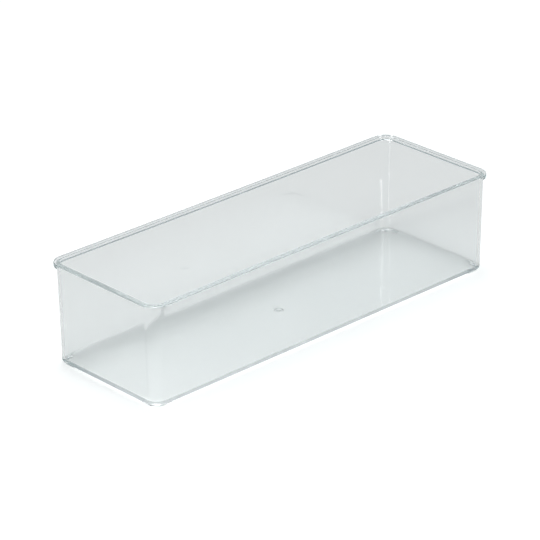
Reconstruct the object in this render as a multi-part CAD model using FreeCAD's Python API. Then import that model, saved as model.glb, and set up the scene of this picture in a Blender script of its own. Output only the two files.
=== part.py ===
import FreeCAD, Part
import math
import os

os.makedirs("parts", exist_ok=True)

# Clear drawer organizer tray: an open box with thin drafted walls, a flange round its rim, a flat
# floor and a low ridge under each corner. The real tray is one plastic moulding. It is built here
# as the regions of that moulding, each a solid of its own, which meet face to face and share no
# volume.
#
# +X runs along the length, +Y from the front long wall to the back one, and +Z up. The origin is
# the middle of the resting plane, under the feet.
#
# Walls, rim, floor edge and feet each have one cross-section, drawn in (r, z), where r is the
# distance outwards from the upright axis of a rounded corner. A straight region is the section
# pushed along a side, and a corner region is the same section turned a quarter round that axis.

# Driving dimensions, in millimetres and degrees
overall_length = 228.6
overall_width = 76.2
overall_height = 53.0

wall_thickness = 1.5
wall_draft = 0.85
corner_radius = 7.0

rim_overhang = 1.5
rim_height = 2.1
rim_edge_radius = 0.4

floor_thickness = 1.6
floor_fillet = 2.0

foot_height = 0.8
foot_width = 1.4
foot_leg = 11.0
foot_edge_radius = 0.25
stacking_clearance = 0.3

gate_diameter = 5.0
gate_depth = 0.5
gate_stub_diameter = 1.8
gate_stub_gap = 0.15

# Heights of the layers
floor_underside = foot_height
floor_top = floor_underside + floor_thickness
fillet_top = floor_top + floor_fillet
rim_underside = overall_height - rim_height

# The upright axes of the rounded corners stand at plus and minus these
axis_x = overall_length / 2 - rim_overhang - corner_radius
axis_y = overall_width / 2 - rim_overhang - corner_radius

# Each side has its name, the quarter turns that bring +X to its outward direction, the place that
# r is measured from, and its length from corner axis to corner axis
sides = [
    ("right", 0, axis_x, 0, 2 * axis_y),
    ("back", 1, 0, axis_y, 2 * axis_x),
    ("left", 2, -axis_x, 0, 2 * axis_y),
    ("front", 3, 0, -axis_y, 2 * axis_x),
]

# Each corner has its name, its quarter turns from the back right one, and the place of its axis
corners = [
    ("back_right", 0, axis_x, axis_y),
    ("back_left", 1, -axis_x, axis_y),
    ("front_left", 2, -axis_x, -axis_y),
    ("front_right", 3, axis_x, -axis_y),
]

draft_slope = math.tan(math.radians(wall_draft))
z_up = FreeCAD.Vector(0, 0, 1)
origin = FreeCAD.Vector(0, 0, 0)


def wall_outer(z):
    """How far the outside of the drafted wall stands from the corner axis at height z."""
    return corner_radius - draft_slope * (overall_height - z)


def wall_inner(z):
    """The same for the inside of the wall."""
    return wall_outer(z) - wall_thickness


# The feet drop inside the mouth of a like tray below, and the floor's bottom edge is rounded from
# the feet's outer faces to the wall
foot_outer = wall_inner(overall_height) - stacking_clearance
foot_inner = foot_outer - foot_width
base_edge_radius = min(wall_outer(floor_underside) - foot_outer, floor_thickness)


def rounded_outline(corner_list):
    """A face in the XZ plane from (r, z, radius) corners, where radius rounds the corner."""
    points = [FreeCAD.Vector(r, 0, z) for r, z, _ in corner_list]
    edges = []
    run_starts = []
    run_ends = []
    for i, (_, _, radius) in enumerate(corner_list):
        corner = points[i]
        back = (points[i - 1] - corner).normalize()
        ahead = (points[(i + 1) % len(points)] - corner).normalize()
        half_angle = back.getAngle(ahead) / 2
        reach = radius / math.tan(half_angle)
        arc_start = corner + back * reach
        arc_end = corner + ahead * reach
        if radius > 0:
            middle_reach = radius / math.sin(half_angle) - radius
            arc_middle = corner + (back + ahead).normalize() * middle_reach
            edges.append(Part.Arc(arc_start, arc_middle, arc_end).toShape())
        run_ends.append(arc_start)
        run_starts.append(arc_end)
    for i, run_start in enumerate(run_starts):
        run_end = run_ends[(i + 1) % len(points)]
        edges.append(Part.LineSegment(run_start, run_end).toShape())
    return Part.Face(Part.Wire(Part.__sortEdges__(edges)))


def wall_section():
    """The drafted wall from the floor's top face to the rim, with the fillet inside its foot."""
    fillet_start = FreeCAD.Vector(wall_inner(fillet_top), 0, fillet_top)
    fillet_centre = fillet_start - FreeCAD.Vector(floor_fillet, 0, 0)
    diagonal = floor_fillet / math.sqrt(2)
    fillet_middle = fillet_centre + FreeCAD.Vector(diagonal, 0, -diagonal)
    fillet_end = fillet_centre - FreeCAD.Vector(0, 0, floor_fillet)
    wall_points = [
        fillet_end,
        FreeCAD.Vector(wall_outer(floor_top), 0, floor_top),
        FreeCAD.Vector(wall_outer(rim_underside), 0, rim_underside),
        FreeCAD.Vector(wall_inner(rim_underside), 0, rim_underside),
        fillet_start,
    ]
    edges = [Part.LineSegment(a, b).toShape() for a, b in zip(wall_points, wall_points[1:])]
    edges.append(Part.Arc(fillet_start, fillet_middle, fillet_end).toShape())
    return Part.Face(Part.Wire(edges))


def rim_section():
    """The flange: the wall's top with a square bead standing out of it, its edges rounded."""
    rim_outer = corner_radius + rim_overhang
    return rounded_outline([
        (wall_inner(rim_underside), rim_underside, 0),
        (rim_outer, rim_underside, rim_edge_radius),
        (rim_outer, overall_height, rim_edge_radius),
        (wall_inner(overall_height), overall_height, rim_edge_radius),
    ])


def floor_edge_section():
    """The floor from the corner axis out to the drafted outside, with a rounded bottom edge."""
    return rounded_outline([
        (0, floor_underside, 0),
        (wall_outer(floor_underside), floor_underside, base_edge_radius),
        (wall_outer(floor_top), floor_top, 0),
        (0, floor_top, 0),
    ])


def foot_section():
    """A low ridge under the floor, rounded along its two lower edges."""
    return rounded_outline([
        (foot_inner, 0, foot_edge_radius),
        (foot_outer, 0, foot_edge_radius),
        (foot_outer, floor_underside, 0),
        (foot_inner, floor_underside, 0),
    ])


def straight(section, length):
    """The section, with r along +X, pushed to both sides of Y = 0."""
    face = section.copy()
    face.translate(FreeCAD.Vector(0, -length / 2, 0))
    return face.extrude(FreeCAD.Vector(0, length, 0))


def quarter(section):
    """The section turned from +X to +Y about the corner axis."""
    return section.revolve(origin, z_up, 90)


def placed(shape, quarter_turns, x, y):
    """A copy turned by quarter turns about +Z, then moved to (x, y)."""
    copy = shape.copy()
    copy.rotate(origin, z_up, 90 * quarter_turns)
    copy.translate(FreeCAD.Vector(x, y, 0))
    return copy


def joined(shapes):
    """One solid from touching shapes, without the seams between them."""
    return shapes[0].multiFuse(shapes[1:]).removeSplitter().Solids[0]


def foot():
    """The back right foot about its corner axis: a quarter turn with a leg along each wall."""
    section = foot_section()
    leg = foot_leg - wall_outer(floor_underside)
    end_wall_leg = section.extrude(FreeCAD.Vector(0, -leg, 0))
    long_wall_leg = placed(section, 1, 0, 0).extrude(FreeCAD.Vector(-leg, 0, 0))
    return joined([quarter(section), end_wall_leg, long_wall_leg])


def gate_mark():
    """What the mould's gate takes out of the floor's underside: a dimple round a stub."""
    dimple_base = FreeCAD.Vector(0, 0, floor_underside)
    dimple = Part.makeCylinder(gate_diameter / 2, gate_depth, dimple_base)
    stub_base = FreeCAD.Vector(0, 0, floor_underside + gate_stub_gap)
    stub = Part.makeCylinder(gate_stub_diameter / 2, gate_depth, stub_base)
    return dimple.cut(stub)


def floor_panel():
    """The middle of the floor, its four edge strips and its four rounded corners as one plate."""
    section = floor_edge_section()
    middle_base = FreeCAD.Vector(-axis_x, -axis_y, floor_underside)
    plates = [Part.makeBox(2 * axis_x, 2 * axis_y, floor_thickness, middle_base)]
    for _, turns, x, y, length in sides:
        plates.append(placed(straight(section, length), turns, x, y))
    for _, turns, x, y in corners:
        plates.append(placed(quarter(section), turns, x, y))
    return joined(plates).cut(gate_mark()).Solids[0]


def save(shape, node):
    """Writes one region to its own file."""
    shape.exportStep("parts/" + node + ".step")


save(floor_panel(), "floor_panel")

for name, turns, x, y, length in sides:
    save(placed(straight(wall_section(), length), turns, x, y), name + "_wall")
    save(placed(straight(rim_section(), length), turns, x, y), name + "_rim_rail")

for name, turns, x, y in corners:
    save(placed(quarter(wall_section()), turns, x, y), name + "_corner_wall")
    save(placed(quarter(rim_section()), turns, x, y), name + "_rim_corner")
    save(placed(foot(), turns, x, y), name + "_foot")
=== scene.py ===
import math

import bmesh
import bpy
from bpy.props import FloatProperty, FloatVectorProperty, IntProperty, PointerProperty
from mathutils import Matrix, Vector


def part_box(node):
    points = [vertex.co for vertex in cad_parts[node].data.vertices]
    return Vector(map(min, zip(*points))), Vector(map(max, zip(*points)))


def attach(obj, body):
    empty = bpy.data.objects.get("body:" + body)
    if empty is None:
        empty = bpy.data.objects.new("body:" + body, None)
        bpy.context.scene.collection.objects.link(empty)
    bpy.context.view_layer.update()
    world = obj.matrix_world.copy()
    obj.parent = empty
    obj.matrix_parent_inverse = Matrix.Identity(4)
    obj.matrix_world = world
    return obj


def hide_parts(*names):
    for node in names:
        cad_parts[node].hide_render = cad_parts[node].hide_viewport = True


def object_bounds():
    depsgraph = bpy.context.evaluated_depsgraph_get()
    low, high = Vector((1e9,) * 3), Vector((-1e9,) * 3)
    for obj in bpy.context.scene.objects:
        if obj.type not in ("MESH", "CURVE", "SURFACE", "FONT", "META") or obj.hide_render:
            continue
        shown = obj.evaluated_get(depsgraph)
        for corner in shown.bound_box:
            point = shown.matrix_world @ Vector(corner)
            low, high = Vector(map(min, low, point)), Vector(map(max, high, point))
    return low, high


bl_info = {
    "name": "Clear Drawer Tray",
    "version": (1, 0, 0),
    "blender": (4, 5, 0),
    "location": "3D View > Sidebar > Tray",
    "description": "Models a clear moulded drawer tray round its CAD frame, and its studio",
    "category": "Object",
}

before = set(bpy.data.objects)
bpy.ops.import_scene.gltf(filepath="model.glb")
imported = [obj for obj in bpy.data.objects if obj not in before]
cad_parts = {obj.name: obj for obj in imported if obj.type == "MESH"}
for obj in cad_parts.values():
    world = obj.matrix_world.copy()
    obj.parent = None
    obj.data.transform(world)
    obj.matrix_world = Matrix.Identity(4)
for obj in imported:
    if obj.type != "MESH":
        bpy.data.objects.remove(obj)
cad_low, cad_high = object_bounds()
rail_low, rail_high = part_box("front_rim_rail")
wall_low, wall_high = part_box("front_wall")
floor_low, floor_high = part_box("floor_panel")
rim_corner_low, rim_corner_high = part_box("back_right_rim_corner")
foot_low, foot_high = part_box("back_right_foot")

# Sizes below are in metres. The upright axes of the rounded corners stand at plus and minus these,
# and r is the distance outwards from such an axis
axis_x = rim_corner_low.x
axis_y = rim_corner_low.y
rim_outer_r = rim_corner_high.x - axis_x
foot_outer_r = foot_high.x - axis_x
wall_r_at_rim = -wall_low.y - axis_y
wall_r_at_floor = floor_high.y - axis_y
draft_slope = (wall_r_at_rim - wall_r_at_floor) / (rail_low.z - floor_high.z)
tray_height = cad_high.z
half_length = cad_high.x

PIECE_NAME = "tray_moulding"
MERGE_DISTANCE = 2e-6

# Faces across the rounded edges, from the large radii to the small ones
WIDE_ROUND_STEPS = 8
RIM_ROUND_STEPS = 5
SMALL_ROUND_STEPS = 3

# The gate mark from its edge to its middle, as shares of its radius and of its depth: a dimple with
# a stub in it that stops short of the underside
GATE_PROFILE = ((1.0, 0.0), (0.94, 1.0), (0.42, 1.0), (0.34, 0.3), (0.0, 0.2))
GATE_STEPS = 36

# Weight of a face's area in the shading of its corners, which keeps the flat faces flat
FLAT_FACE_WEIGHT = 100

FLOOR_HALF_SIDE = 4.0
OVERHEAD_DISTANCE = 1.2
SIDE_DISTANCE = 1.3
SENSOR_WIDTH = 36.0

# Sines of the elevations between which the pale horizon turns into the darker room
HORIZON_START = 0.15
HORIZON_END = 0.22

# The rim and the base edge guide light along the plastic, and turn black when it is cut off early
LIGHT_BOUNCES = 128


class TraySizes(bpy.types.PropertyGroup):
    """Sizes of the moulding that the CAD boxes don't give"""

    wall_thickness: FloatProperty(
        name="Wall Thickness",
        description="Thickness of the four walls",
        default=rail_high.y - wall_low.y,
        unit="LENGTH",
    )
    floor_fillet: FloatProperty(
        name="Floor Fillet",
        description="Radius inside the tray between floor and walls",
        default=0.0006,
        unit="LENGTH",
    )
    base_edge_radius: FloatProperty(
        name="Base Edge Radius",
        description="Radius round the outside of the floor",
        default=0.00102,
        unit="LENGTH",
    )
    rim_edge_radius: FloatProperty(
        name="Rim Edge Radius",
        description="Radius along the edges of the rim and the mouth",
        default=0.0004,
        unit="LENGTH",
    )
    rim_root_radius: FloatProperty(
        name="Rim Root Radius",
        description="Radius in the corner between the wall's outside and the rim's underside",
        default=0.0004,
        unit="LENGTH",
    )
    foot_width: FloatProperty(
        name="Foot Width",
        description="Width of the ridge under each corner",
        default=0.0014,
        unit="LENGTH",
    )
    foot_edge_radius: FloatProperty(
        name="Foot Edge Radius",
        description="Radius along the lower edges of a foot",
        default=0.00025,
        unit="LENGTH",
    )
    gate_radius: FloatProperty(
        name="Gate Radius",
        description="Radius of the dimple left by the mould's gate under the floor",
        default=0.0025,
        unit="LENGTH",
    )
    gate_depth: FloatProperty(
        name="Gate Depth",
        description="Depth of the gate's dimple",
        default=0.0005,
        unit="LENGTH",
    )
    long_wall_bow: FloatProperty(
        name="Long Wall Bow",
        description="How far each long wall leans in at mid-length, at the rim",
        default=0.00055,
        unit="LENGTH",
    )
    corner_steps: IntProperty(
        name="Corner Steps",
        description="Faces round each upright corner",
        default=24,
        min=4,
    )
    wall_steps: IntProperty(
        name="Wall Steps",
        description="Faces along half of each wall, past its foot",
        default=14,
        min=2,
    )


class PlasticLook(bpy.types.PropertyGroup):
    """Colour and surface of the clear plastic"""

    tint: FloatVectorProperty(
        name="Tint",
        description="Colour of the light that a face of the plastic lets through",
        default=(0.985, 0.988, 0.988),
        subtype="COLOR",
        min=0.0,
        max=1.0,
    )
    depth_colour: FloatVectorProperty(
        name="Depth Colour",
        description="Colour that light takes on a long way through the plastic",
        default=(0.35, 0.6, 0.625),
        subtype="COLOR",
        min=0.0,
        max=1.0,
    )
    depth_density: FloatProperty(
        name="Depth Density",
        description="How soon light takes that colour",
        default=3.5,
    )
    shade: FloatVectorProperty(
        name="Shade",
        description="Share of the lamps' light that each face lets through to what is behind it",
        default=(0.815, 0.82, 0.812),
        subtype="COLOR",
        min=0.0,
        max=1.0,
    )
    shade_power: FloatProperty(
        name="Shade Power",
        description="How far lamp light has to slant before a face turns it away",
        default=6.0,
    )
    refraction: FloatProperty(
        name="Refraction",
        description="Index of refraction of the plastic",
        default=1.59,
    )
    roughness: FloatProperty(
        name="Roughness",
        description="Roughness of the polished faces",
        default=0.04,
    )
    underside_roughness: FloatProperty(
        name="Underside Roughness",
        description="Roughness of the scuffed underside",
        default=0.3,
    )
    underside_share: FloatProperty(
        name="Underside Share",
        description="Share of the lamps' light that the scuffed underside lets through",
        default=0.62,
    )
    scuff_start: FloatProperty(
        name="Scuff Start",
        description="Height over the floor's underside where the scuffs begin to fade",
        default=0.0001,
        unit="LENGTH",
    )
    scuff_end: FloatProperty(
        name="Scuff End",
        description="Height over the floor's underside where the scuffs have faded out",
        default=0.0011,
        unit="LENGTH",
    )
    wave_length: FloatProperty(
        name="Wave Length",
        description="Distance from crest to crest of the faint waves in the faces",
        default=0.03,
        unit="LENGTH",
    )
    wave_height: FloatProperty(
        name="Wave Height",
        description="Height of the faint waves in the faces",
        default=0.00002,
        unit="LENGTH",
    )


class StudioSettings(bpy.types.PropertyGroup):
    """Floor, surroundings, lights and camera"""

    floor_colour: FloatVectorProperty(
        name="Floor Colour",
        description="Colour of the floor",
        default=(0.76, 0.785, 0.787),
        subtype="COLOR",
        min=0.0,
        max=1.0,
    )
    floor_glow: FloatProperty(
        name="Floor Glow",
        description="Light that the floor adds where the camera sees it, up to white",
        default=0.36,
    )
    horizon_colour: FloatVectorProperty(
        name="Horizon Colour",
        description="Colour of the surroundings near the horizon, seen in and through the plastic",
        default=(0.79, 0.81, 0.815),
        subtype="COLOR",
        min=0.0,
        max=1.0,
    )
    room_colour: FloatVectorProperty(
        name="Room Colour",
        description="Colour of the surroundings higher up, seen in and through the plastic",
        default=(0.2, 0.27, 0.3),
        subtype="COLOR",
        min=0.0,
        max=1.0,
    )
    room_light: FloatVectorProperty(
        name="Room Light",
        description="Light that the surroundings higher up throw on the floor",
        default=(0.47, 0.47, 0.47),
        subtype="COLOR",
        min=0.0,
        max=1.0,
    )
    backdrop_lean: FloatProperty(
        name="Backdrop Lean",
        description="How much higher the bright surroundings reach behind the tray",
        default=0.35,
    )
    overhead_power: FloatProperty(
        name="Overhead Power",
        description="Power of the soft light high above the tray",
        default=5.1,
        unit="POWER",
    )
    overhead_heading: FloatProperty(
        name="Overhead Heading",
        description="Heading of the light above, clockwise from +Y as seen from above",
        default=math.radians(25.0),
        subtype="ANGLE",
    )
    overhead_elevation: FloatProperty(
        name="Overhead Elevation",
        description="How high the light above stands over the horizon",
        default=math.radians(74.0),
        subtype="ANGLE",
    )
    overhead_size: FloatProperty(
        name="Overhead Size",
        description="Side of the square light above",
        default=0.5,
        unit="LENGTH",
    )
    right_power: FloatProperty(
        name="Right Power",
        description="Power of the soft light to the camera's right",
        default=3.6,
        unit="POWER",
    )
    left_power: FloatProperty(
        name="Left Power",
        description="Power of the soft light to the camera's left",
        default=2.4,
        unit="POWER",
    )
    right_heading: FloatProperty(
        name="Right Heading",
        description="Heading of the light to the camera's right",
        default=math.radians(180.0),
        subtype="ANGLE",
    )
    left_heading: FloatProperty(
        name="Left Heading",
        description="Heading of the light to the camera's left",
        default=math.radians(274.0),
        subtype="ANGLE",
    )
    side_elevation: FloatProperty(
        name="Side Elevation",
        description="How high these two lights stand over the horizon",
        default=math.radians(26.0),
        subtype="ANGLE",
    )
    side_width: FloatProperty(
        name="Side Width",
        description="Width of these two lights",
        default=0.4,
        unit="LENGTH",
    )
    side_height: FloatProperty(
        name="Side Height",
        description="Height of these two lights",
        default=0.3,
        unit="LENGTH",
    )
    view_azimuth: FloatProperty(
        name="View Azimuth",
        description="Heading of the camera, clockwise from +Y as seen from above",
        default=math.radians(43.2952),
        subtype="ANGLE",
    )
    view_elevation: FloatProperty(
        name="View Elevation",
        description="How steeply the camera looks down",
        default=math.radians(24.9583),
        subtype="ANGLE",
    )
    view_roll: FloatProperty(
        name="View Roll",
        description="Turn of the camera about its line of sight",
        default=math.radians(-0.4912),
        subtype="ANGLE",
    )
    view_distance: FloatProperty(
        name="View Distance",
        description="Distance from the camera's plane to the tray's origin",
        default=1.442893,
        unit="LENGTH",
    )
    view_right: FloatProperty(
        name="View Right",
        description="How far right of the line of sight the tray's origin lies",
        default=0.0037704,
        unit="LENGTH",
    )
    view_up: FloatProperty(
        name="View Up",
        description="How far above the line of sight the tray's origin lies",
        default=-0.0213614,
        unit="LENGTH",
    )
    lens: FloatProperty(
        name="Lens",
        description="Focal length on a 36 mm sensor, in millimetres",
        default=194.14,
    )


def wall_outer_r(z):
    """How far the outside of the drafted wall stands from the corner axis at height z."""
    return wall_r_at_rim - draft_slope * (rail_low.z - z)


def section_rings(sizes):
    """The moulding's cross-section with sharp corners, as name: (r, z), round from the floor."""
    wall = sizes.wall_thickness
    return {
        "floor_middle": (0.0, floor_high.z),
        "floor_corner": (wall_outer_r(floor_high.z) - wall, floor_high.z),
        "mouth": (wall_outer_r(tray_height) - wall, tray_height),
        "rim_top": (rim_outer_r, tray_height),
        "rim_bottom": (rim_outer_r, rail_low.z),
        "rim_root": (wall_outer_r(rail_low.z), rail_low.z),
        "base": (wall_outer_r(floor_low.z), floor_low.z),
        "foot_outside": (foot_outer_r, floor_low.z),
        "foot_inside": (foot_outer_r - sizes.foot_width, floor_low.z),
        "underside_middle": (0.0, floor_low.z),
    }


def extrude_row(mesh, edges, moves):
    """Extrudes a row of edges through a list of moves, one after the other."""
    for move in moves:
        new = bmesh.ops.extrude_edge_only(mesh, edges=edges)["geom"]
        verts = [part for part in new if isinstance(part, bmesh.types.BMVert)]
        new_edges = [part for part in new if isinstance(part, bmesh.types.BMEdge)]
        edges = [edge for edge in new_edges if all(vert in verts for vert in edge.verts)]
        bmesh.ops.translate(mesh, verts=verts, vec=move)


def even_moves(direction, first, total, steps):
    """A first move along direction, then even ones up to the total."""
    rest = (total - first) / steps
    return [direction * first] + [direction * rest] * steps


def quarter_shell(mesh, sizes):
    """One quarter's edge strips, wall and rim: a corner spun about its axis, and two half walls.

    Each vertex keeps the number of its corner of the section, so that its ring can be found again.
    """
    ring = mesh.verts.layers.int.new("ring")
    section = [
        mesh.verts.new((axis_x + r, axis_y, z)) for r, z in section_rings(sizes).values()
    ]
    for number, vert in enumerate(section):
        vert[ring] = number
    row = [mesh.edges.new(pair) for pair in zip(section, section[1:])]
    spun = bmesh.ops.spin(
        mesh,
        geom=section + row,
        cent=(axis_x, axis_y, 0.0),
        axis=(0.0, 0.0, 1.0),
        angle=math.radians(90),
        steps=sizes.corner_steps,
        use_merge=False,
    )
    last_row = [part for part in spun["geom_last"] if isinstance(part, bmesh.types.BMEdge)]
    leg = axis_y - foot_low.y
    extrude_row(mesh, row, even_moves(Vector((0, -1, 0)), leg, axis_y, sizes.wall_steps))
    extrude_row(mesh, last_row, even_moves(Vector((-1, 0, 0)), leg, axis_x, sizes.wall_steps))
    bmesh.ops.remove_doubles(mesh, verts=mesh.verts, dist=MERGE_DISTANCE)


def round_edges(mesh, edges, radius, steps):
    """Rounds a list of edges."""
    bmesh.ops.bevel(
        mesh,
        geom=edges,
        offset=radius,
        offset_type="OFFSET",
        segments=steps,
        profile=0.5,
        affect="EDGES",
        material=-1,
    )


def add_foot(mesh, sizes):
    """Pulls the quarter's foot down out of the strip that its section marks on the underside."""
    ring = mesh.verts.layers.int["ring"]
    names = list(section_rings(sizes))
    foot_rings = {names.index("foot_outside"), names.index("foot_inside")}
    strip = []
    for face in mesh.faces:
        middle = face.calc_center_median()
        near_corner = middle.x > foot_low.x and middle.y > foot_low.y
        if near_corner and {vert[ring] for vert in face.verts} == foot_rings:
            strip.append(face)
    new = bmesh.ops.extrude_face_region(mesh, geom=strip)["geom"]
    sole = [part for part in new if isinstance(part, bmesh.types.BMFace)]
    verts = [part for part in new if isinstance(part, bmesh.types.BMVert)]
    bmesh.ops.translate(mesh, verts=verts, vec=(0.0, 0.0, foot_low.z - floor_low.z))
    left_over = [face for face in strip if face.is_valid]
    bmesh.ops.delete(mesh, geom=left_over, context="FACES")
    outline = [edge for edge in mesh.edges if sum(face in sole for face in edge.link_faces) == 1]
    round_edges(mesh, outline, sizes.foot_edge_radius, SMALL_ROUND_STEPS)


def mirror_all_round(mesh):
    """Adds the quarter's mirror images across the tray's length and width, merged with it."""
    for axis in ("X", "Y"):
        everything = mesh.verts[:] + mesh.edges[:] + mesh.faces[:]
        bmesh.ops.mirror(
            mesh, geom=everything, matrix=Matrix(), merge_dist=MERGE_DISTANCE, axis=axis
        )
    bmesh.ops.recalc_face_normals(mesh, faces=mesh.faces)


def round_ring(mesh, sizes, name, radius, steps):
    """Rounds one corner of the section all the way round the tray."""
    ring = mesh.verts.layers.int["ring"]
    number = list(section_rings(sizes)).index(name)
    edges = [edge for edge in mesh.edges if all(vert[ring] == number for vert in edge.verts)]
    round_edges(mesh, edges, radius, steps)


def gate_mark(mesh, sizes):
    """The gate's dimple and its stub, spun about the middle. Returns the dimple's outer edges."""
    other_verts = set(mesh.verts)
    verts = [
        mesh.verts.new((radius * sizes.gate_radius, 0.0, floor_low.z + depth * sizes.gate_depth))
        for radius, depth in GATE_PROFILE
    ]
    edges = [mesh.edges.new(pair) for pair in zip(verts, verts[1:])]
    bmesh.ops.spin(
        mesh,
        geom=verts + edges,
        cent=(0.0, 0.0, 0.0),
        axis=(0.0, 0.0, 1.0),
        angle=math.radians(360),
        steps=GATE_STEPS,
        use_merge=True,
    )
    new = [vert for vert in mesh.verts if vert not in other_verts]
    bmesh.ops.remove_doubles(mesh, verts=new, dist=MERGE_DISTANCE)
    return [
        edge
        for edge in mesh.edges
        if len(edge.link_faces) == 1 and other_verts.isdisjoint(edge.verts)
    ]


def close_floor(mesh, sizes):
    """Closes the floor's two faces, the lower one round the gate mark."""
    open_edges = [edge for edge in mesh.edges if len(edge.link_faces) == 1]
    top = [
        edge for edge in open_edges if abs(edge.verts[0].co.z - floor_high.z) < MERGE_DISTANCE
    ]
    under = [edge for edge in open_edges if edge not in top]
    bmesh.ops.holes_fill(mesh, edges=top, sides=0)
    gate_edges = gate_mark(mesh, sizes)
    bmesh.ops.triangle_fill(
        mesh, edges=under + gate_edges, use_beauty=True, normal=(0.0, 0.0, -1.0)
    )


def lean_long_walls_in(mesh, sizes):
    """Leans the long walls in a little at mid-length, most at the rim, as cooling does."""
    for vert in mesh.verts:
        along = vert.co.x / half_length
        height = vert.co.z / tray_height
        vert.co.y -= math.copysign(sizes.long_wall_bow * height * (1 - along**2), vert.co.y)


def check_closed(mesh):
    """Stops with a message if any edge of the mesh isn't shared by exactly two faces."""
    loose = [edge for edge in mesh.edges if not edge.is_manifold]
    if loose:
        where = tuple(loose[0].verts[0].co)
        raise RuntimeError(f"the moulding has {len(loose)} open edges, such as at {where}")


def add_node(tree, kind, **inputs):
    """A new shader node with some of its inputs set by name."""
    node = tree.nodes.new(kind)
    for name, value in inputs.items():
        node.inputs[name.replace("_", " ")].default_value = value
    return node


def math_node(tree, operation, *values):
    """The output of a new Math node whose inputs are numbers or other nodes' outputs."""
    node = tree.nodes.new("ShaderNodeMath")
    node.operation = operation
    for socket, value in zip(node.inputs, values):
        if isinstance(value, bpy.types.NodeSocket):
            tree.links.new(value, socket)
        else:
            socket.default_value = value
    return node.outputs[0]


def mix_node(tree, factor, first, second, blend="MIX"):
    """The output of a new Mix node between two colours, each a constant or a node's output."""
    node = tree.nodes.new("ShaderNodeMix")
    node.data_type = "RGBA"
    node.blend_type = blend
    colour_inputs = [socket for socket in node.inputs if socket.type == "RGBA"]
    values = zip([node.inputs["Factor"]] + colour_inputs, (factor, first, second))
    for socket, value in values:
        if isinstance(value, bpy.types.NodeSocket):
            tree.links.new(value, socket)
        elif socket.type == "RGBA":
            socket.default_value = (*value, 1.0)
        else:
            socket.default_value = value
    return next(socket for socket in node.outputs if socket.type == "RGBA")


def ramp_node(tree, value, start, end, low, high, interpolation="LINEAR"):
    """The output of a new node that goes from low to high while a value goes from start to end."""
    ramp = tree.nodes.new("ShaderNodeMapRange")
    ramp.interpolation_type = interpolation
    tree.links.new(value, ramp.inputs["Value"])
    ramp.inputs["From Min"].default_value = start
    ramp.inputs["From Max"].default_value = end
    ramp.inputs["To Min"].default_value = low
    ramp.inputs["To Max"].default_value = high
    return ramp.outputs["Result"]


def clear_plastic(look):
    """Polished clear plastic: bends light, takes a cool tint with depth, and waves faintly.

    The lamps' light passes straight through to what is behind, tinted and less so at a slant, in
    place of the bright patterns that bent light would draw there.
    """
    material = bpy.data.materials.new("clear_plastic")
    material.use_nodes = True
    tree = material.node_tree
    surface = tree.nodes["Principled BSDF"]
    output = tree.nodes["Material Output"]
    surface.inputs["Base Color"].default_value = (*look.tint, 1.0)
    surface.inputs["Metallic"].default_value = 0.0
    surface.inputs["IOR"].default_value = look.refraction
    surface.inputs["Transmission Weight"].default_value = 1.0
    # Stands in for the link made below where a reader can't follow that
    surface.inputs["Roughness"].default_value = look.roughness

    coordinates = tree.nodes.new("ShaderNodeTexCoord")
    waves = add_node(tree, "ShaderNodeTexNoise", Scale=1 / look.wave_length, Detail=1.0)
    bump = add_node(tree, "ShaderNodeBump", Strength=1.0, Distance=look.wave_height)
    tree.links.new(coordinates.outputs["Object"], waves.inputs["Vector"])
    tree.links.new(waves.outputs["Fac"], bump.inputs["Height"])
    tree.links.new(bump.outputs["Normal"], surface.inputs["Normal"])

    place = tree.nodes.new("ShaderNodeSeparateXYZ")
    tree.links.new(coordinates.outputs["Object"], place.inputs[0])
    height = place.outputs["Z"]
    scuffs = (floor_low.z + look.scuff_start, floor_low.z + look.scuff_end)
    roughness = ramp_node(tree, height, *scuffs, look.underside_roughness, look.roughness)
    tree.links.new(roughness, surface.inputs["Roughness"])

    path = tree.nodes.new("ShaderNodeLightPath")
    grazing = add_node(tree, "ShaderNodeLayerWeight", Blend=0.5)
    turned_back = math_node(tree, "POWER", grazing.outputs["Facing"], look.shade_power)
    share = math_node(tree, "SUBTRACT", 1.0, turned_back)
    past_scuffs = ramp_node(tree, height, *scuffs, look.underside_share, 1.0)
    share = math_node(tree, "MULTIPLY", share, past_scuffs)
    passed = tree.nodes.new("ShaderNodeBsdfTransparent")
    tree.links.new(mix_node(tree, 1.0, look.shade, share, "MULTIPLY"), passed.inputs["Color"])
    chosen = tree.nodes.new("ShaderNodeMixShader")
    tree.links.new(path.outputs["Is Shadow Ray"], chosen.inputs["Fac"])
    tree.links.new(surface.outputs["BSDF"], chosen.inputs[1])
    tree.links.new(passed.outputs["BSDF"], chosen.inputs[2])
    tree.links.new(chosen.outputs["Shader"], output.inputs["Surface"])

    depth = add_node(tree, "ShaderNodeVolumeAbsorption", Density=look.depth_density)
    depth.inputs["Color"].default_value = (*look.depth_colour, 1.0)
    tree.links.new(depth.outputs["Volume"], output.inputs["Volume"])
    return material


def floor_material(studio):
    """A pale matt floor that adds a little light of its own where the camera sees it.

    That light isn't a lamp: it is left out of the sampling of light sources.
    """
    material = bpy.data.materials.new("studio_floor")
    material.use_nodes = True
    tree = material.node_tree
    tree.nodes.remove(tree.nodes["Principled BSDF"])
    matt = tree.nodes.new("ShaderNodeBsdfDiffuse")
    matt.inputs["Color"].default_value = (*studio.floor_colour, 1.0)

    path = tree.nodes.new("ShaderNodeLightPath")
    glow = tree.nodes.new("ShaderNodeEmission")
    seen = math_node(tree, "MULTIPLY", path.outputs["Is Camera Ray"], studio.floor_glow)
    tree.links.new(seen, glow.inputs["Strength"])
    total = tree.nodes.new("ShaderNodeAddShader")
    tree.links.new(matt.outputs[0], total.inputs[0])
    tree.links.new(glow.outputs[0], total.inputs[1])
    tree.links.new(total.outputs[0], tree.nodes["Material Output"].inputs["Surface"])
    material.cycles.emission_sampling = "NONE"
    return material


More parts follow.
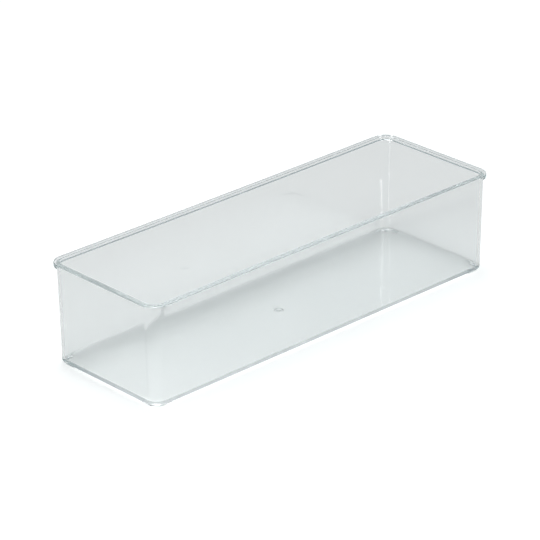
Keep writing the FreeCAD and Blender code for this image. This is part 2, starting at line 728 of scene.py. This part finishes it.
def studio_floor(studio):
    """One large flat floor at the height of the feet's undersides."""
    mesh = bmesh.new()
    bmesh.ops.create_grid(mesh, x_segments=1, y_segments=1, size=FLOOR_HALF_SIDE)
    data = bpy.data.meshes.new("studio_floor")
    mesh.to_mesh(data)
    mesh.free()
    floor = bpy.data.objects.new("studio_floor", data)
    floor.location.z = cad_low.z
    bpy.context.scene.collection.objects.link(floor)
    data.materials.append(floor_material(studio))


def soft_light(name, heading, elevation, distance, width, height, power):
    """A rectangular soft light in a given direction from the tray, facing it.

    The plastic's own material already lets its light through to the floor, so light that the floor
    would find again through the plastic is left out.
    """
    data = bpy.data.lights.new(name, "AREA")
    data.shape = "RECTANGLE"
    data.size = width
    data.size_y = height
    data.energy = power
    data.use_nodes = True
    tree = data.node_tree
    path = tree.nodes.new("ShaderNodeLightPath")
    bounced = math_node(tree, "MINIMUM", path.outputs["Diffuse Depth"], 1.0)
    twice = math_node(tree, "MULTIPLY", bounced, path.outputs["Is Transmission Ray"])
    once = math_node(tree, "SUBTRACT", 1.0, twice)
    tree.links.new(once, tree.nodes["Emission"].inputs["Strength"])
    light = bpy.data.objects.new(name, data)
    level = math.cos(elevation)
    away = Vector((math.sin(heading) * level, math.cos(heading) * level, math.sin(elevation)))
    light.location = away * distance
    light.rotation_euler = away.to_track_quat("Z", "Y").to_euler()
    light.visible_camera = False
    bpy.context.scene.collection.objects.link(light)


def studio_world(studio):
    """White for the camera. Other rays meet a pale horizon, higher behind the tray, and a room.

    The room is dark and cool in and through the plastic, and lights matt surfaces evenly.
    """
    world = bpy.data.worlds.new("studio_world")
    world.use_nodes = True
    tree = world.node_tree
    coordinates = tree.nodes.new("ShaderNodeTexCoord")
    direction = tree.nodes.new("ShaderNodeSeparateXYZ")
    tree.links.new(coordinates.outputs["Generated"], direction.inputs[0])
    azimuth = studio.view_azimuth
    along_x = math_node(tree, "MULTIPLY", direction.outputs["X"], math.sin(azimuth))
    along_y = math_node(tree, "MULTIPLY", direction.outputs["Y"], math.cos(azimuth))
    ahead = math_node(tree, "ADD", along_x, along_y)
    lean = math_node(tree, "MULTIPLY", ahead, studio.backdrop_lean)
    height = math_node(tree, "SUBTRACT", direction.outputs["Z"], lean)
    upward = ramp_node(tree, height, HORIZON_START, HORIZON_END, 0.0, 1.0, "SMOOTHSTEP")
    path = tree.nodes.new("ShaderNodeLightPath")
    is_matt = path.outputs["Is Diffuse Ray"]
    room = mix_node(tree, is_matt, studio.room_colour, studio.room_light)
    around = mix_node(tree, upward, studio.horizon_colour, room)
    seen = mix_node(tree, path.outputs["Is Camera Ray"], around, (1.0, 1.0, 1.0))
    tree.links.new(seen, tree.nodes["Background"].inputs["Color"])
    world.cycles.sampling_method = "NONE"
    bpy.context.scene.world = world


def studio_camera(studio):
    """The camera at the photograph's place, lens and tilt."""
    azimuth = studio.view_azimuth
    level = math.cos(studio.view_elevation)
    ahead = Vector(
        (math.sin(azimuth) * level, math.cos(azimuth) * level, -math.sin(studio.view_elevation))
    )
    level_right = Vector((math.cos(azimuth), -math.sin(azimuth), 0.0))
    level_up = level_right.cross(ahead)
    right = level_right * math.cos(studio.view_roll) + level_up * math.sin(studio.view_roll)
    up = level_up * math.cos(studio.view_roll) - level_right * math.sin(studio.view_roll)
    place = -right * studio.view_right - up * studio.view_up - ahead * studio.view_distance
    data = bpy.data.cameras.new("studio_camera")
    data.sensor_width = SENSOR_WIDTH
    data.lens = studio.lens
    camera = bpy.data.objects.new("studio_camera", data)
    turn = Matrix((right, up, -ahead)).transposed()
    camera.matrix_world = Matrix.Translation(place) @ turn.to_4x4()
    bpy.context.scene.collection.objects.link(camera)
    bpy.context.scene.camera = camera


class TRAY_OT_moulding(bpy.types.Operator):
    """Model the whole moulding as one closed piece: floor, walls, rim, feet and gate mark"""

    bl_idname = "tray.moulding"
    bl_label = "Model Moulding"

    def execute(self, context):
        sizes = context.scene.tray_sizes
        mesh = bmesh.new()
        quarter_shell(mesh, sizes)
        add_foot(mesh, sizes)
        mirror_all_round(mesh)
        close_floor(mesh, sizes)
        round_ring(mesh, sizes, "floor_corner", sizes.floor_fillet, WIDE_ROUND_STEPS)
        for name in ("mouth", "rim_top", "rim_bottom"):
            round_ring(mesh, sizes, name, sizes.rim_edge_radius, RIM_ROUND_STEPS)
        round_ring(mesh, sizes, "rim_root", sizes.rim_root_radius, SMALL_ROUND_STEPS)
        round_ring(mesh, sizes, "base", sizes.base_edge_radius, WIDE_ROUND_STEPS)
        lean_long_walls_in(mesh, sizes)
        bmesh.ops.recalc_face_normals(mesh, faces=mesh.faces)
        check_closed(mesh)
        for face in mesh.faces:
            face.smooth = True
        data = bpy.data.meshes.new(PIECE_NAME)
        mesh.to_mesh(data)
        mesh.free()
        piece = bpy.data.objects.new(PIECE_NAME, data)
        context.scene.collection.objects.link(piece)
        flat_faces_rule = piece.modifiers.new("flat_faces_rule", "WEIGHTED_NORMAL")
        flat_faces_rule.weight = FLAT_FACE_WEIGHT
        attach(piece, "root")
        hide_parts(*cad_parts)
        return {"FINISHED"}


class TRAY_OT_plastic(bpy.types.Operator):
    """Give the moulding its clear plastic"""

    bl_idname = "tray.plastic"
    bl_label = "Apply Clear Plastic"

    def execute(self, context):
        piece = bpy.data.objects.get(PIECE_NAME)
        if piece is None:
            raise RuntimeError("model the moulding before its plastic")
        piece.data.materials.clear()
        piece.data.materials.append(clear_plastic(context.scene.tray_plastic))
        return {"FINISHED"}


class TRAY_OT_studio(bpy.types.Operator):
    """Set up the floor, lights, surroundings and camera"""

    bl_idname = "tray.studio"
    bl_label = "Set Up Studio"

    def execute(self, context):
        studio = context.scene.tray_studio
        studio_floor(studio)
        soft_light(
            "overhead_light",
            studio.overhead_heading,
            studio.overhead_elevation,
            OVERHEAD_DISTANCE,
            studio.overhead_size,
            studio.overhead_size,
            studio.overhead_power,
        )
        for name, heading, power in (
            ("right_light", studio.right_heading, studio.right_power),
            ("left_light", studio.left_heading, studio.left_power),
        ):
            soft_light(
                name,
                heading,
                studio.side_elevation,
                SIDE_DISTANCE,
                studio.side_width,
                studio.side_height,
                power,
            )
        studio_world(studio)
        studio_camera(studio)
        context.scene.view_settings.view_transform = "Standard"
        context.scene.cycles.max_bounces = LIGHT_BOUNCES
        context.scene.cycles.transmission_bounces = LIGHT_BOUNCES
        context.scene.cycles.glossy_bounces = LIGHT_BOUNCES
        return {"FINISHED"}


class TRAY_PT_panel(bpy.types.Panel):
    """Buttons and settings for the tray, in the 3D view's sidebar"""

    bl_idname = "TRAY_PT_panel"
    bl_label = "Clear Drawer Tray"
    bl_space_type = "VIEW_3D"
    bl_region_type = "UI"
    bl_category = "Tray"

    def draw(self, context):
        layout = self.layout
        groups = (
            (TRAY_OT_moulding, context.scene.tray_sizes),
            (TRAY_OT_plastic, context.scene.tray_plastic),
            (TRAY_OT_studio, context.scene.tray_studio),
        )
        for operator, settings in groups:
            box = layout.box()
            for name in settings.bl_rna.properties.keys():
                if name not in ("rna_type", "name"):
                    box.prop(settings, name)
            box.operator(operator.bl_idname)


CLASSES = (
    TraySizes,
    PlasticLook,
    StudioSettings,
    TRAY_OT_moulding,
    TRAY_OT_plastic,
    TRAY_OT_studio,
    TRAY_PT_panel,
)


def register():
    """Registers the classes and hangs the settings on the scene."""
    for item in CLASSES:
        bpy.utils.register_class(item)
    bpy.types.Scene.tray_sizes = PointerProperty(type=TraySizes)
    bpy.types.Scene.tray_plastic = PointerProperty(type=PlasticLook)
    bpy.types.Scene.tray_studio = PointerProperty(type=StudioSettings)


def unregister():
    """Takes the settings and the classes away again."""
    del bpy.types.Scene.tray_studio
    del bpy.types.Scene.tray_plastic
    del bpy.types.Scene.tray_sizes
    for item in reversed(CLASSES):
        bpy.utils.unregister_class(item)


def main():
    """Builds the tray, its plastic and its studio."""
    register()
    bpy.ops.tray.moulding()
    bpy.ops.tray.plastic()
    bpy.ops.tray.studio()


if __name__ == "__main__":
    main()
